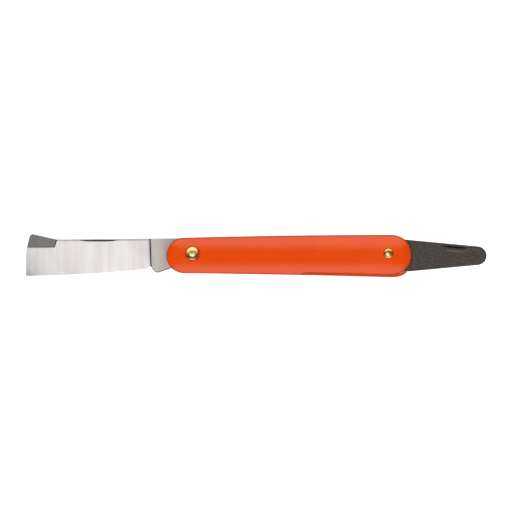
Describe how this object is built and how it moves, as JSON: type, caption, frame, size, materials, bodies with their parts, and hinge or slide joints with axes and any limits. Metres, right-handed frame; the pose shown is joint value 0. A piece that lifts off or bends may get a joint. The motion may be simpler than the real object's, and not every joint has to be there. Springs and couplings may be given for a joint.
{
  "type": "folding grafting knife",
  "caption": "Two-ended folding knife with a crowned slim handle, a broad square-ended blade with a raised bark-lifting hump, and a tapering blunt bark lifter at the other end.",
  "frame": {"origin": "under the middle of the whole open knife's box, on the surface that it lies on", "axes": "+X along the knife towards the bark lifter's tip, +Y towards the handle's back, +Z out of the front scale"},
  "size_m": [0.2074, 0.0194, 0.0123],
  "materials": {
    "handle_nylon": "satin moulded nylon",
    "liner_steel": "rolled",
    "blade_steel": "ground across the blade",
    "spring_steel": "ground along the back",
    "lifter_dark": "dark satin, fine speckle",
    "rivet_brass": "polished domes"
  },
  "bodies": {
    "handle": {"rear_scale": "handle_nylon", "rear_liner": "liner_steel", "blade_spring": "spring_steel", "centre_liner": "liner_steel", "lifter_spring": "spring_steel", "front_liner": "liner_steel", "front_scale": "handle_nylon", "spring_pin": "rivet_brass", "blade_rivet": "rivet_brass", "blade_rivet_collar_front": "rivet_brass", "blade_rivet_collar_rear": "rivet_brass", "lifter_rivet": "rivet_brass", "lifter_rivet_collar_front": "rivet_brass", "lifter_rivet_collar_rear": "rivet_brass"},
    "blade": {"blade": "blade_steel"},
    "bark_lifter": {"bark_lifter": "lifter_dark"}
  },
  "joints": [
    {"name": "blade_fold", "type": "hinge", "parent": "handle", "child": "blade", "pos_m": [-0.02855, 0.00103, 0.0049], "axis": [0, 0, 1], "range_deg": [0, 168], "deforming": ["blade_spring"]},
    {"name": "lifter_fold", "type": "hinge", "parent": "handle", "child": "bark_lifter", "pos_m": [0.05945, 0.00103, 0.0077], "axis": [0, 0, -1], "range_deg": [0, 166], "deforming": ["lifter_spring"]}
  ]
}
